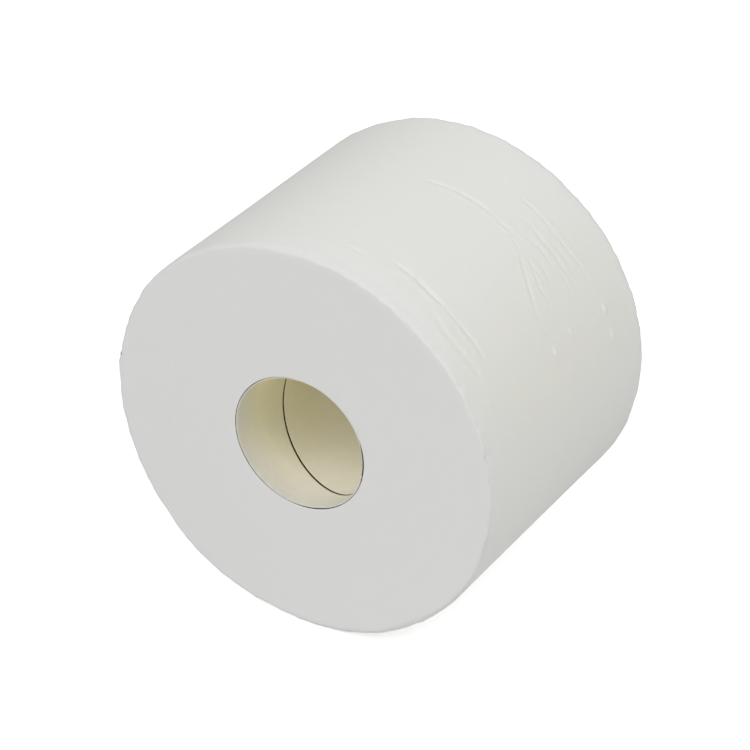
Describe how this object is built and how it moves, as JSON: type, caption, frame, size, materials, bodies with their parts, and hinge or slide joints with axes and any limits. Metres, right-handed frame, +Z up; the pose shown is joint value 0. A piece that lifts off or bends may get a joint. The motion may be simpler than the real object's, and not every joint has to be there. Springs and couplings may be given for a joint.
{
  "type": "toilet paper roll",
  "caption": "Plain white tissue wound on a spiral board tube, lying on its side on a small flat spot, with a through bore for a holder's spindle.",
  "frame": {"origin": "on the axis of the core's bore, halfway between the two ends", "axes": "+Y along the bore towards the back end, +Z up from the flat spot that the roll lies on, +X to the right seen from the front end"},
  "size_m": [0.131, 0.096, 0.1301],
  "materials": {
    "tissue": "matte and soft",
    "board": "matte cream-grey board"
  },
  "bodies": {
    "root": {"core_tube": "board", "paper_roll": "tissue"}
  },
  "joints": []
}
